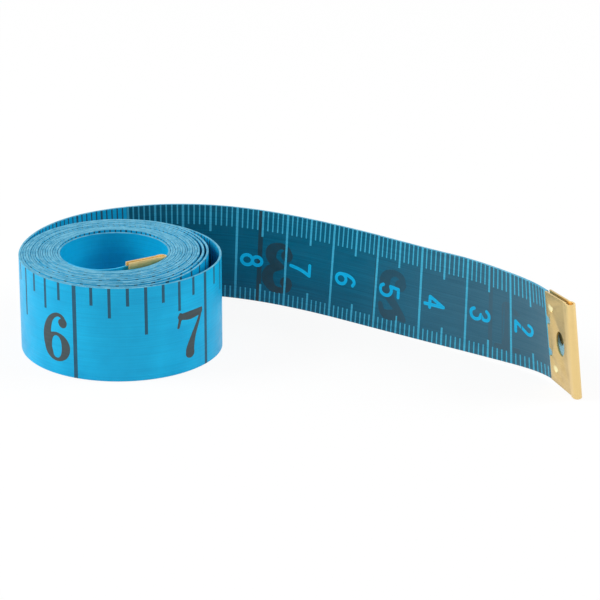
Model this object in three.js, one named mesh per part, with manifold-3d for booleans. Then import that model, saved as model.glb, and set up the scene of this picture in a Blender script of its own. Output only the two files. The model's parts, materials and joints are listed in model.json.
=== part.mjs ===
// Cloth tape measure: a coated tape rolled up on edge, with a folded metal tip on each end.
// Millimetres, +Z up. The tape stands on its long edge and its free tail runs out to the right.
import * as THREE from 'three';
import Module from 'manifold-3d';
import { mergeVertices } from 'three/addons/utils/BufferGeometryUtils.js';

const wasm = await Module();
wasm.setup();

// Tape
const TAPE_WIDTH = 17.5;
const TAPE_THICKNESS = 0.4;
const TURN_GAP = 0.035;

// Coil: turns are counted outwards from the inner end, clockwise seen from above
const CORE_RADIUS = 9.5;
const WHOLE_TURNS = 16;
const TAIL_ANGLE = -180;
const TURN_EASE = 0.05;
const TURN_EASE_ANGLE = 10;
const LOOSE_TURN_SLACK = 2.1;
const LOOSE_TURN_RISE_ANGLE = 80;
const LOOSE_TURN_FALL_ANGLE = 160;
const FACETS_PER_TURN = 30;
const PACKED_STRETCHES = ['tape_inner_turns', 'tape_outer_turns'];

// Tail, from where it leaves the coil to the free end of its tip
const TAIL_LENGTH = 130.1;
const TAIL_STEP = 2.2;
const FIXED_TAIL_LENGTH = 22;
const FLEXURE_COUNT = 6;
const SLIT_WIDTH = 0.55;

// Bend of the tail as a share of the coil's own curvature, by share of the tail's free length
const TAIL_BEND = [
  [0, 0.805], [0.083, 0.718], [0.165, 0.666], [0.289, 0.576], [0.413, 0.393],
  [0.536, 0.206], [0.66, -0.015], [0.784, -0.012], [0.891, 0.026], [1, 1.185],
];

// Lean of the tail in degrees, top edge towards the hollow side of its bend, by the same shares
const TAIL_LEAN = [[0, 0], [0.22, -3.2], [0.42, -6.5], [0.62, -6.5], [0.8, -3.1], [1, 7.7]];

// Lift of the tail as a share of the lift at its tip, by the same shares
const TAIL_LIFT = [[0, 0], [0.45, 0], [1, 1]];

// Folded metal tips
const SHEET = 0.3;
const TIP_LENGTH = 8.5;
const TIP_INSET = 0.15;
const TIP_CLEARANCE = 0.1;
const FOLD_LENGTH = 1.9;
const FOLD_RADIUS = 0.8;
const FOLD_STEP = 0.5;
const TAPE_INSERTION = 5.9;

// Outer tip: spread of its free end at each edge, its height off mid width and its tilt in degrees
const TIP_FLARE = 0.5;
const TIP_RISE = 0.2;
const TIP_TILT = 2;

// Inner tip: where its free end meets the core wall, the way it points, its lift and its tilt in degrees
const INNER_TIP_ANGLE = -18;
const INNER_TIP_HEADING = 40;
const INNER_TIP_TILT = 4;
const INNER_TIP_LIFT = 0.9;
const INNER_TIP_LEAD = 0.4;
const CORE_CLEARANCE = 0.15;

// Oval window in one leaf, and the hole in the tape behind it
const WINDOW_LENGTH = 2.6;
const WINDOW_HEIGHT = 4.8;
const WINDOW_INSET = 4.1;
const TAPE_HOLE_OFFSET = 1.6;

// Half-round notches in the mouth of the leaves, and the stakes that bite the tape
const NOTCH_RADIUS = 0.8;
const NOTCH_DEPTH = 1;
const NOTCH_SPACING = 6.2;
const STAKE_RADIUS = 0.6;
const STAKE_DEPTH = 0.2;
const STAKE_INSET = 2;
const STAKE_SPACING = 11.8;

// Sizes that follow from the ones above
const { degToRad, radToDeg, lerp, smoothstep } = THREE.MathUtils;
const PITCH = TAPE_THICKNESS + TURN_GAP;
const INNER_RADIUS = CORE_RADIUS + TAPE_THICKNESS / 2;
const INNER_BEND = innerBend();
const TURNS = WHOLE_TURNS + (radToDeg(INNER_BEND.startAngle) - TAIL_ANGLE) / 360;
const OUTER_RADIUS = INNER_RADIUS + PITCH * TURNS;
const PACKED_TURNS = TURNS - (LOOSE_TURN_FALL_ANGLE + LOOSE_TURN_RISE_ANGLE) / 360;
const FREE_TAIL = TAIL_LENGTH - TIP_LENGTH;
const FLEXURE_SPACING = (FREE_TAIL - FIXED_TAIL_LENGTH) / FLEXURE_COUNT;
const TIP_WIDTH = TAPE_WIDTH - 2 * TIP_INSET;
const LEAF_INNER = TAPE_THICKNESS / 2 + TIP_CLEARANCE;
const LEAF_OUTER = LEAF_INNER + SHEET;
const END_LEAN = degToRad(TAIL_LEAN.at(-1)[1]);
const TIP_DROP = TIP_FLARE - TIP_INSET - TIP_RISE + TIP_LENGTH * Math.sin(degToRad(TIP_TILT));
const TIP_LIFT = TIP_DROP * Math.cos(END_LEAN) + FOLD_RADIUS * Math.sin(END_LEAN);

const tapeMaterial = () => new THREE.MeshStandardMaterial({ color: 0x2aa5dc, roughness: 0.45, metalness: 0 });
const brassMaterial = () => new THREE.MeshStandardMaterial({ color: 0xd8b062, roughness: 0.3, metalness: 1 });

// Value at a share between neighbouring stations of a list of [share, value]
function between(stations, share) {
  const next = Math.max(1, stations.findIndex(([at]) => at >= share));
  const [low, lowValue] = stations[next - 1];
  const [high, highValue] = stations[next];
  return lerp(lowValue, highValue, smoothstep(share, low, high));
}

// A place on the tape: its middle line on the ground, the way it runs, its lean and its lift
class Station {
  constructor(x, y, heading, lean = 0, lift = 0) {
    this.ground = new THREE.Vector3(x, y, lift);
    this.along = new THREE.Vector3(Math.cos(heading), Math.sin(heading), 0);
    const left = new THREE.Vector3(-Math.sin(heading), Math.cos(heading), 0);
    const vertical = new THREE.Vector3(0, 0, 1);
    this.across = left.clone().multiplyScalar(Math.cos(lean)).addScaledVector(vertical, Math.sin(lean));
    this.up = vertical.multiplyScalar(Math.cos(lean)).addScaledVector(left, -Math.sin(lean));
  }

  point(offset, height) {
    return this.ground.clone().addScaledVector(this.across, offset).addScaledVector(this.up, height);
  }

  // Frame at mid width, with x along the tape, y to its left and z up its width
  frame() {
    const basis = new THREE.Matrix4().makeBasis(this.along, this.across, this.up);
    return basis.setPosition(this.point(0, TAPE_WIDTH / 2));
  }
}

// Radius of the coil: a spiral eased apart on one side, with the outermost turn standing off as a loose loop
function coilRadius(turn) {
  const back = (TURNS - turn) * 360;
  const reach = back < LOOSE_TURN_FALL_ANGLE ? LOOSE_TURN_FALL_ANGLE : LOOSE_TURN_RISE_ANGLE;
  const fromPeak = Math.min(1, Math.abs(back - LOOSE_TURN_FALL_ANGLE) / reach);
  const slack = LOOSE_TURN_SLACK * (1 + Math.cos(Math.PI * fromPeak)) / 2;
  const easedSide = (1 + Math.cos(coilAngle(turn) - degToRad(TURN_EASE_ANGLE))) / 2;
  return INNER_RADIUS + (PITCH + TURN_EASE * easedSide) * turn + slack;
}

function coilAngle(turn) {
  return INNER_BEND.startAngle - 2 * Math.PI * turn;
}

function coilPoint(turn) {
  const angle = coilAngle(turn);
  const radius = coilRadius(turn);
  return new THREE.Vector2(radius * Math.cos(angle), radius * Math.sin(angle));
}

function coilHeading(turn) {
  const step = 0.5 / FACETS_PER_TURN;
  return coilPoint(turn + step).sub(coilPoint(turn - step)).angle();
}

function coilStation(turn) {
  const point = coilPoint(turn);
  return new Station(point.x, point.y, coilHeading(turn));
}

// Stations between two turns, at the same angles on every turn so that neighbouring facets lie flush
function coilStations(from, to) {
  const stations = [coilStation(from)];
  for (let facet = Math.floor(from * FACETS_PER_TURN) + 1; facet < to * FACETS_PER_TURN; facet++) {
    stations.push(coilStation(facet / FACETS_PER_TURN));
  }
  stations.push(coilStation(to));
  return stations;
}

// Route of the tail, stepped along from the end of the coil by its bend
function tailRoute() {
  const steps = 800;
  const step = TAIL_LENGTH / steps;
  const start = coilPoint(TURNS);
  const route = [{ x: start.x, y: start.y, heading: coilHeading(TURNS) }];
  for (let i = 0; i < steps; i++) {
    const last = route[i];
    const share = (i + 0.5) * step / FREE_TAIL;
    const turn = share < 1 ? between(TAIL_BEND, share) / OUTER_RADIUS * step : 0;
    const middle = last.heading - turn / 2;
    const x = last.x + step * Math.cos(middle);
    const y = last.y + step * Math.sin(middle);
    route.push({ x, y, heading: last.heading - turn });
  }
  return route;
}

const ROUTE = tailRoute();

function tailStation(distance) {
  const place = distance / TAIL_LENGTH * (ROUTE.length - 1);
  const index = Math.min(Math.floor(place), ROUTE.length - 2);
  const [a, b] = [ROUTE[index], ROUTE[index + 1]];
  const blend = (key) => lerp(a[key], b[key], place - index);
  const share = Math.min(1, distance / FREE_TAIL);
  const lean = degToRad(between(TAIL_LEAN, share));
  const lift = TIP_LIFT * between(TAIL_LIFT, share);
  const cornerDip = TAPE_THICKNESS / 2 * Math.abs(Math.sin(lean));
  return new Station(blend('x'), blend('y'), blend('heading'), lean, lift + cornerDip);
}

function tailStations(from, to) {
  const steps = Math.max(1, Math.round((to - from) / TAIL_STEP));
  return Array.from({ length: steps + 1 }, (_, i) => tailStation(lerp(from, to, i / steps)));
}

// Stretch of tape: a long flat box bent along its stations
function strip(stations) {
  const last = stations.length - 1;
  const geometry = new THREE.BoxGeometry(1, TAPE_THICKNESS, TAPE_WIDTH, last, 1, 1);
  const position = geometry.attributes.position;
  for (let i = 0; i < position.count; i++) {
    const station = stations[Math.round((position.getX(i) + 0.5) * last)];
    const point = station.point(position.getY(i), position.getZ(i) + TAPE_WIDTH / 2);
    position.setXYZ(i, point.x, point.y, point.z);
  }
  return geometry;
}

function toSolid(geometry) {
  const bare = geometry.clone();
  bare.deleteAttribute('normal');
  bare.deleteAttribute('uv');
  const merged = mergeVertices(bare);
  const vertProperties = new Float32Array(merged.attributes.position.array);
  return new wasm.Manifold(new wasm.Mesh({
    numProp: 3, vertProperties, triVerts: new Uint32Array(merged.index.array),
  }));
}

function fromSolid(solid) {
  const mesh = solid.getMesh();
  const geometry = new THREE.BufferGeometry();
  geometry.setAttribute('position', new THREE.BufferAttribute(mesh.vertProperties, 3));
  geometry.setIndex(new THREE.BufferAttribute(mesh.triVerts, 1));
  geometry.computeVertexNormals();
  return geometry;
}

function cut(geometry, cutters) {
  const solid = cutters.reduce((body, cutter) => body.subtract(toSolid(cutter)), toSolid(geometry));
  return fromSolid(solid);
}

// Oval prism through a leaf or the tape, from one offset to another across the thickness
function ovalCutter(height, from, to) {
  const outline = new THREE.Shape();
  outline.absellipse(WINDOW_INSET, height, WINDOW_LENGTH / 2, WINDOW_HEIGHT / 2, 0, 2 * Math.PI);
  const settings = { depth: to - from, bevelEnabled: false, curveSegments: 14 };
  const prism = new THREE.ExtrudeGeometry(outline, settings);
  return prism.rotateX(Math.PI / 2).translate(0, to, 0);
}

// Section of a tip seen along the tape's width: two leaves and a hollow rolled fold at the free end
function tipSection() {
  const centre = TIP_LENGTH - FOLD_RADIUS;
  const step = TIP_LENGTH - FOLD_LENGTH;
  const bulge = step + FOLD_STEP;
  const hollow = FOLD_RADIUS - SHEET;
  const ease = FOLD_STEP / 2;
  const section = new THREE.Shape();
  section.moveTo(0, LEAF_OUTER);
  section.lineTo(0, LEAF_INNER);
  section.lineTo(step, LEAF_INNER);
  section.bezierCurveTo(step + ease, LEAF_INNER, bulge - ease, hollow, bulge, hollow);
  section.lineTo(centre, hollow);
  section.absarc(centre, 0, hollow, Math.PI / 2, -Math.PI / 2, true);
  section.lineTo(bulge, -hollow);
  section.bezierCurveTo(bulge - ease, -hollow, step + ease, -LEAF_INNER, step, -LEAF_INNER);
  section.lineTo(0, -LEAF_INNER);
  section.lineTo(0, -LEAF_OUTER);
  section.lineTo(step, -LEAF_OUTER);
  section.bezierCurveTo(step + ease, -LEAF_OUTER, bulge - ease, -FOLD_RADIUS, bulge, -FOLD_RADIUS);
  section.lineTo(centre, -FOLD_RADIUS);
  section.absarc(centre, 0, FOLD_RADIUS, -Math.PI / 2, Math.PI / 2, false);
  section.lineTo(bulge, FOLD_RADIUS);
  section.bezierCurveTo(bulge - ease, FOLD_RADIUS, step + ease, LEAF_OUTER, step, LEAF_OUTER);
  return section;
}

// Folded tip: x from the mouth to the fold, the window in the leaf on the -y side, z centred on the width
function tipGeometry(flare) {
  const sheet = new THREE.ExtrudeGeometry(tipSection(), { depth: 1, bevelEnabled: false, curveSegments: 6 });
  const position = sheet.attributes.position;
  for (let i = 0; i < position.count; i++) {
    const width = TIP_WIDTH + 2 * flare * position.getX(i) / TIP_LENGTH;
    position.setZ(i, (position.getZ(i) - 0.5) * width);
  }
  const cutters = [ovalCutter(0, -FOLD_RADIUS, 0)];
  const stakeBall = (STAKE_RADIUS ** 2 + STAKE_DEPTH ** 2) / (2 * STAKE_DEPTH);
  for (const side of [-1, 1]) {
    const notch = new THREE.CylinderGeometry(NOTCH_RADIUS, NOTCH_RADIUS, 4 * FOLD_RADIUS, 24);
    cutters.push(notch.translate(NOTCH_DEPTH - NOTCH_RADIUS, 0, side * NOTCH_SPACING / 2));
    const stake = new THREE.SphereGeometry(stakeBall, 24, 16);
    const seat = STAKE_DEPTH - LEAF_OUTER - stakeBall;
    cutters.push(stake.translate(STAKE_INSET, seat, side * STAKE_SPACING / 2));
  }
  return cut(sheet, cutters);
}

function addPiece(name, geometry, material, placement = new THREE.Matrix4()) {
  const mesh = new THREE.Mesh(geometry, material);
  mesh.name = name;
  mesh.applyMatrix4(placement);
  tapeMeasure.add(mesh);
}

// Half a slit is left free on each side of a flexure, and between the stretches of the coil
const flexureAt = (index) => FIXED_TAIL_LENGTH + index * FLEXURE_SPACING;
const afterFlexure = (index) => flexureAt(index) + SLIT_WIDTH / 2;
const beforeFlexure = (index) => flexureAt(index) - SLIT_WIDTH / 2;
const halfSlitTurn = (turn) => SLIT_WIDTH / 2 / (2 * Math.PI * coilRadius(turn));

// Packed stretches end at whole facets: the turn at which a stretch starts
function stretchStart(index) {
  const share = index / PACKED_STRETCHES.length;
  return Math.round(share * PACKED_TURNS * FACETS_PER_TURN) / FACETS_PER_TURN;
}

function packedGeometry(index) {
  const from = stretchStart(index);
  const to = stretchStart(index + 1);
  return strip(coilStations(from + halfSlitTurn(from), to - halfSlitTurn(to)));
}

// Outermost turn, loose round the packed ones, and the stretch of tail that it holds
function looseTurnGeometry() {
  const from = stretchStart(PACKED_STRETCHES.length);
  const turnStations = coilStations(from + halfSlitTurn(from), TURNS).slice(0, -1);
  return strip([...turnStations, ...tailStations(0, beforeFlexure(0))]);
}

// Bend of the inner end: it leaves the innermost turn and turns into the line of the stiff tip, which
// slants back to the core wall
function innerBend() {
  const heading = degToRad(INNER_TIP_HEADING);
  const tipAngle = degToRad(INNER_TIP_ANGLE);
  const foldCentreRadius = CORE_RADIUS - FOLD_RADIUS - CORE_CLEARANCE;
  const inwards = new THREE.Vector2(Math.cos(heading), Math.sin(heading));
  const outwards = new THREE.Vector2(Math.sin(heading), -Math.cos(heading));
  const end = new THREE.Vector2(Math.cos(tipAngle), Math.sin(tipAngle)).multiplyScalar(foldCentreRadius);
  end.addScaledVector(inwards, FOLD_RADIUS - TIP_LENGTH - INNER_TIP_LEAD);
  const radius = (INNER_RADIUS ** 2 - end.lengthSq()) / (2 * (INNER_RADIUS - end.dot(outwards)));
  const centre = end.addScaledVector(outwards, -radius);
  return { radius, centre, startAngle: Math.atan2(centre.y, centre.x), endAngle: heading - Math.PI / 2 };
}

// Inner end of the tape, rising along its bend and tilting down again to the end of the tip
function innerEnd() {
  const { radius, centre, startAngle, endAngle } = INNER_BEND;
  // Stations run the same way as on the coil, so the heading is against the way inwards
  const station = (angle, onward) => {
    const x = centre.x + radius * Math.cos(angle) - onward * Math.sin(angle);
    const y = centre.y + radius * Math.sin(angle) + onward * Math.cos(angle);
    const rise = INNER_TIP_LIFT * smoothstep(angle, startAngle, endAngle);
    const fall = onward * Math.tan(degToRad(INNER_TIP_TILT));
    return new Station(x, y, angle - Math.PI / 2, 0, rise - fall);
  };
  const bendStart = startAngle + SLIT_WIDTH / 2 / radius;
  const steps = 8;
  const stations = [station(endAngle, INNER_TIP_LEAD + TAPE_INSERTION)];
  for (let i = steps; i >= 0; i--) {
    stations.push(station(lerp(bendStart, endAngle, i / steps), 0));
  }
  return { stations, mouth: station(endAngle, INNER_TIP_LEAD) };
}

const tapeMeasure = new THREE.Group();

PACKED_STRETCHES.forEach((name, index) => addPiece(name, packedGeometry(index), tapeMaterial()));
addPiece('tape_loose_turn', looseTurnGeometry(), tapeMaterial());

for (let index = 0; index < FLEXURE_COUNT - 1; index++) {
  const stations = tailStations(afterFlexure(index), beforeFlexure(index + 1));
  addPiece(`tape_tail_${index + 1}`, strip(stations), tapeMaterial());
}

// Last stretch, cut square inside the tip and pierced behind its window
const tipTilt = new THREE.Matrix4().makeRotationY(degToRad(TIP_TILT)).setPosition(0, 0, TIP_RISE);
const tipMouth = tailStation(FREE_TAIL).frame().multiply(tipTilt);
const endStations = tailStations(afterFlexure(FLEXURE_COUNT - 1), FREE_TAIL + TAPE_INSERTION);
const tapeHole = ovalCutter(TAPE_HOLE_OFFSET, -TAPE_THICKNESS, TAPE_THICKNESS).applyMatrix4(tipMouth);
addPiece(`tape_tail_${FLEXURE_COUNT}`, cut(strip(endStations), [tapeHole]), tapeMaterial());
addPiece('outer_tip', tipGeometry(TIP_FLARE), brassMaterial(), tipMouth);

// Inner end, its tip turned over so that the window faces the middle of the core
const inner = innerEnd();
const turnedOver = new THREE.Matrix4().makeRotationY(Math.PI - degToRad(INNER_TIP_TILT));
addPiece('tape_inner_end', strip(inner.stations), tapeMaterial());
addPiece('inner_tip', tipGeometry(0), brassMaterial(), inner.mouth.frame().multiply(turnedOver));

// Origin under the middle of the whole object, on the surface that it stands on
const bounds = new THREE.Box3().setFromObject(tapeMeasure, true);
const middle = bounds.getCenter(new THREE.Vector3());
tapeMeasure.position.set(-middle.x, -middle.y, -bounds.min.z);

export default tapeMeasure;
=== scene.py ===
"""Cloth tape measure: a printed tape rolled up on edge, with a folded brass tip on each end."""
import json
import math
import bmesh
import bpy
import numpy as np
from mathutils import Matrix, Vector


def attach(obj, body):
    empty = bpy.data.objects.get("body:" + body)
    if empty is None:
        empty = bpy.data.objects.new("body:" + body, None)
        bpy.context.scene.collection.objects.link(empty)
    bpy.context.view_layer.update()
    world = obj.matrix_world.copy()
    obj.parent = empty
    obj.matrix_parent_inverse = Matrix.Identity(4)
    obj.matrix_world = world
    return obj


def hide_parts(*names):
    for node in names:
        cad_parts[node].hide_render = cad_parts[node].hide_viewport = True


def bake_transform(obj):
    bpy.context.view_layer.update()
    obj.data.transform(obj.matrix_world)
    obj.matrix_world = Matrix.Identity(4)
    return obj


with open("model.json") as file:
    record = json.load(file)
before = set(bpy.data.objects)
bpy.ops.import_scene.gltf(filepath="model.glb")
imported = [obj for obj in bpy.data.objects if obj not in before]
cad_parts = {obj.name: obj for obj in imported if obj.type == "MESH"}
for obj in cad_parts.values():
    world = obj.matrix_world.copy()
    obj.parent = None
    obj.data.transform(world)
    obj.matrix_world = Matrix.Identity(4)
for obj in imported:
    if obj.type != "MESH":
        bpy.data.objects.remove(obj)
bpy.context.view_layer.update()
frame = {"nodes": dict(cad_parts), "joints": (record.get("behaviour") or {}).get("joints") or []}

MM = 0.001
CENTIMETRE = 10 * MM
INCH = 25.4 * MM

# Tape and the coil that it is rolled into; turns are counted outwards from the inner end
TAPE_WIDTH = 17.5 * MM
TAPE_THICKNESS = 0.4 * MM
EDGE_ROUNDING = 0.08 * MM
TURN_GAP = 0.035 * MM
CORE_RADIUS = 9.5 * MM
WHOLE_TURNS = 16
TAIL_ANGLE = -180.0
TURN_EASE = 0.05 * MM
TURN_EASE_ANGLE = 10.0
EASED_TURNS = 2
FULLY_EASED_TURN = WHOLE_TURNS - 1.4
LOOSE_TURN_SLACK = 2.1 * MM
LOOSE_TURN_RISE_ANGLE = 80.0
LOOSE_TURN_FALL_ANGLE = 160.0
FACETS_PER_TURN = 30

# Packed turns that spread towards the loose one: the share of the room that they fill, the angles back from
# the tail between which that fades, the first turn that spreads, and how many turns from the end it is full
FRONT_FILL = 0.92
FRONT_FILL_FADE = (100, 165)
FIRST_SPREAD_TURN = 4
FULL_SPREAD_BACK = 1.25
LAST_SPREAD_BACK = 0.75

# Packed turns that stand up: those next to the innermost one, and slow waves through all of them, by length
# in turns and phase, with the turns over which each comes in and fades
SECOND_TURN_RISE = 0.4 * MM
SECOND_TURN_START = (0.85, 1.05)
SECOND_TURN_FADE = (1.6, 5.0)
UNEVEN_RISE = 0.26 * MM
UNEVEN_WAVES = [(2.83, 0.0), (4.37, 1.0)]
UNEVEN_START = (0.6, 2.0)
UNEVEN_FADE_BACK = (1.6, 0.4)

# Tail, from where it leaves the coil to the free end of its tip
TAIL_LENGTH = 130.1 * MM
ZERO_PAST_TIP = 1.25 * MM
FIXED_TAIL_LENGTH = 22.0 * MM
FLEXURE_COUNT = 6
TAIL_BEND = [
    (0, 0.805), (0.083, 0.718), (0.165, 0.666), (0.289, 0.576), (0.413, 0.393),
    (0.536, 0.206), (0.66, -0.015), (0.784, -0.012), (0.891, 0.026), (1, 1.185),
]
TAIL_LEAN = [(0, 0), (0.22, -3.2), (0.42, -6.5), (0.62, -6.5), (0.8, -3.1), (1, 7.7)]
TAIL_LIFT = [(0, 0), (0.45, 0), (1, 1)]

# Seams between the pieces of the tail, by place on the scale: each lies between numerals
TAIL_SEAMS = [120.33 * MM, 100.84 * MM, 84.4 * MM, 69.45 * MM, 51.5 * MM, 34.25 * MM]

# Tips: sizes, and angles in degrees
TIP_LENGTH = 8.5 * MM
TIP_INSET = 0.15 * MM
TIP_FLARE = 0.5 * MM
TIP_RISE = 0.2 * MM
TIP_TILT = 2.0
FOLD_RADIUS = 0.8 * MM
FOLD_LENGTH = 1.9 * MM
STAKE_RADIUS = 0.6 * MM
STAKE_INSET = 2.0 * MM
STAKE_SPACING = 11.8 * MM
TAPE_INSERTION = 5.9 * MM
END_TRIM = 0.45 * MM
WINDOW_LENGTH = 2.6 * MM
WINDOW_HEIGHT = 4.8 * MM
WINDOW_INSET = 4.1 * MM
TAPE_HOLE_OFFSET = 1.6 * MM
PIERCED_LENGTH = 5.2 * MM
INNER_TIP_ANGLE = -18.0
INNER_TIP_HEADING = 40.0
INNER_TIP_LEAD = 0.4 * MM
CORE_CLEARANCE = 0.15 * MM
INNER_FLEXURE_REACH = 4.0 * MM
SHEET_ROUNDING = 0.05 * MM

# Scales: spacing of the marks, then for each rank how many spacings apart, the line's width,
# and its reach from the upper and the lower edge
INCH_SCALE = (INCH / 8, [
    (8, 0.75 * MM, TAPE_WIDTH, 0.0),
    (4, 0.55 * MM, 8.9 * MM, 0.0),
    (2, 0.55 * MM, 5.6 * MM, 0.0),
    (1, 0.55 * MM, 3.4 * MM, 0.0),
])
CENTIMETRE_SCALE = (1.0 * MM, [
    (10, 0.45 * MM, TAPE_WIDTH, 0.0),
    (5, 0.4 * MM, 5.0 * MM, 3.4 * MM),
    (1, 0.26 * MM, 3.8 * MM, 2.3 * MM),
])
INCH_LINE_WIDTH = INCH_SCALE[1][0][1]
CENTIMETRE_LINE_WIDTH = CENTIMETRE_SCALE[1][0][1]
BLOCK_START = 9.9 * MM
BLOCK_END = 100.0 * MM
PRINT_END = 1420.0 * MM
INK_LIFT = 0.012 * MM
SHOW_THROUGH_LIFT = 0.006 * MM
SHOW_THROUGH_SHIFT = -0.8 * MM
SHOW_THROUGH_SPREAD = 0.03

# Numerals, and the lines that they stand next to
INCH_NUMERAL_HEIGHT = 9.1 * MM
INCH_NUMERAL_STRETCH = 1.09
INCH_NUMERAL_BASE = 2.5 * MM
INCH_NUMERAL_GAP = 0.5 * MM
CENTIMETRE_NUMERAL_HEIGHT = 4.7 * MM
CENTIMETRE_NUMERAL_MIDDLE = 7.7 * MM
CENTIMETRE_NUMERAL_GAP = 0.55 * MM
INCH_NUMERALS = range(1, 10)
CENTIMETRE_NUMERALS = range(2, 14)
SHOW_THROUGH_NUMERALS = range(1, 5)

# Fineness of the shapes
TAIL_STEPS = 2000
COIL_STEPS = 40000
BEND_STEPS = 200
CHORD_STEPS = 50
COLUMN_STEP = 0.7 * MM
PLACE_DECIMALS = 5
PIERCED_STEP = 0.25 * MM
RING_POINTS = 25
PEN_STEPS = 6
SERIF_ROWS = 60
PLAIN_ROWS = 36
CELL_MARGIN = 4
SMOOTH_TAPE_ANGLE = 30
SMOOTH_TIP_ANGLE = 40
ROUNDED_EDGE_ANGLE = 35
FLAT_ANGLE = 1

# Camera and stage
LENS_MM = 180.0
SENSOR_MM = 36.0
CAMERA_AIM = (0.00064, 0.02232, 0.0)
CAMERA_ELEVATION = 21.35
CAMERA_DISTANCE = 0.5618
CAMERA_NEAR = 0.01
FLOOR_SIZE = 6.0
FLOOR_DROP = 0.05 * MM
FLOOR_GREY = (0.93, 0.93, 0.93, 1.0)
FLOOR_SEEN_WHITE = 0.9
WHITE = (1.0, 1.0, 1.0, 1.0)
SKY_LIGHT = 0.5
LIGHT_SIZE = 0.5
LIGHTS = [("left", (-0.75, -0.05, 0.5), 5.5), ("right", (0.75, 0.0, 0.5), 4.2)]

# Materials of the tape, in the order of its slots
GROUND, BLOCK, LIGHT, INK, LINE, SHOW_THROUGH, END, EDGE = range(8)


def inner_bend():
    """Radius, centre, start and end angle of the bend between the innermost turn and the slanted tip."""
    heading = math.radians(INNER_TIP_HEADING)
    tip_angle = math.radians(INNER_TIP_ANGLE)
    inwards = np.array([math.cos(heading), math.sin(heading)])
    outwards = np.array([math.sin(heading), -math.cos(heading)])
    fold_radius = CORE_RADIUS - FOLD_RADIUS - CORE_CLEARANCE
    fold_centre = fold_radius * np.array([math.cos(tip_angle), math.sin(tip_angle)])
    end = fold_centre - (TIP_LENGTH - FOLD_RADIUS + INNER_TIP_LEAD) * inwards
    radius = (INNER_RADIUS ** 2 - end @ end) / (2 * (INNER_RADIUS - end @ outwards))
    centre = end - radius * outwards
    return radius, centre, math.atan2(centre[1], centre[0]), heading - math.pi / 2


# Sizes that follow from the ones above
PITCH = TAPE_THICKNESS + TURN_GAP
INNER_RADIUS = CORE_RADIUS + TAPE_THICKNESS / 2
BEND_RADIUS, BEND_CENTRE, BEND_START, BEND_END = inner_bend()
TURNS = WHOLE_TURNS + (math.degrees(BEND_START) - TAIL_ANGLE) / 360
OUTER_RADIUS = INNER_RADIUS + PITCH * TURNS
PACKED_TURNS = TURNS - (LOOSE_TURN_RISE_ANGLE + LOOSE_TURN_FALL_ANGLE) / 360
FREE_TAIL = TAIL_LENGTH - TIP_LENGTH
TAIL_START = TAIL_LENGTH + ZERO_PAST_TIP
TIP_MOUTH = TIP_LENGTH + ZERO_PAST_TIP
FLEXURE_SPACING = (FREE_TAIL - FIXED_TAIL_LENGTH) / FLEXURE_COUNT
END_LEAN = math.radians(TAIL_LEAN[-1][1])
TIP_DROP = TIP_FLARE - TIP_INSET - TIP_RISE + TIP_LENGTH * math.sin(math.radians(TIP_TILT))
TIP_LIFT = TIP_DROP * math.cos(END_LEAN) + FOLD_RADIUS * math.sin(END_LEAN)


def smoothstep(value, low, high):
    share = np.clip((value - low) / (high - low), 0.0, 1.0)
    return share * share * (3.0 - 2.0 * share)


def between(stations, share):
    """Values at shares between neighbouring stations of a list of (share, value)."""
    values = np.full(np.shape(share), float(stations[0][1]))
    for (low, low_value), (high, high_value) in zip(stations, stations[1:]):
        eased = low_value + (high_value - low_value) * smoothstep(share, low, high)
        values = np.where(share > low, eased, values)
    return values


def coil_angle(turn):
    return BEND_START - 2 * math.pi * turn


def front_fill(turn):
    """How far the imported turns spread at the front, the outer ones most, to lie close to the loose turn."""
    round_back = (TURNS - turn) * 360 % 360
    opened = np.minimum(1, round_back / LOOSE_TURN_FALL_ANGLE)
    room = LOOSE_TURN_SLACK * (1 - np.cos(np.pi * opened)) / 2
    filled = FRONT_FILL * room * (1 - smoothstep(round_back, *FRONT_FILL_FADE))
    spread = np.clip((turn - FIRST_SPREAD_TURN) / (TURNS - (FIRST_SPREAD_TURN + FULL_SPREAD_BACK)), 0, 1)
    return filled * spread * (turn < TURNS - LAST_SPREAD_BACK)


def coil_radius(turn):
    """A tight spiral whose last packed turns stand apart on one side, with a loose loop outermost."""
    back = (TURNS - turn) * 360
    reach = np.where(back < LOOSE_TURN_FALL_ANGLE, LOOSE_TURN_FALL_ANGLE, LOOSE_TURN_RISE_ANGLE)
    from_peak = np.minimum(1, np.abs(back - LOOSE_TURN_FALL_ANGLE) / reach)
    slack = LOOSE_TURN_SLACK * (1 + np.cos(np.pi * from_peak)) / 2 + front_fill(turn)
    side = (1 + np.cos(coil_angle(turn) - math.radians(TURN_EASE_ANGLE))) / 2
    past = turn - FULLY_EASED_TURN
    eased = FULLY_EASED_TURN * np.clip((past + EASED_TURNS) / EASED_TURNS, 0, 1) + np.maximum(0, past)
    return INNER_RADIUS + PITCH * turn + TURN_EASE * side * eased + slack


def coil_rise(turn):
    """How far turns stand up: some a little all round, those next to the innermost more at the back."""
    back = ((1 + np.sin(coil_angle(turn))) / 2) ** 3
    near = smoothstep(turn, *SECOND_TURN_START) * (1 - smoothstep(turn, *SECOND_TURN_FADE))
    waves = sum(np.sin(2 * np.pi * turn / length + phase) for length, phase in UNEVEN_WAVES)
    uneven = waves / (2 * len(UNEVEN_WAVES)) + 0.5
    fade_start, fade_end = (PACKED_TURNS - turns_back for turns_back in UNEVEN_FADE_BACK)
    packed = smoothstep(turn, *UNEVEN_START) * (1 - smoothstep(turn, fade_start, fade_end))
    return SECOND_TURN_RISE * back * near + UNEVEN_RISE * uneven * packed


def coil_line(turn):
    radius, angle = coil_radius(turn), coil_angle(turn)
    return np.stack([radius * np.cos(angle), radius * np.sin(angle)], axis=-1)


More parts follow.
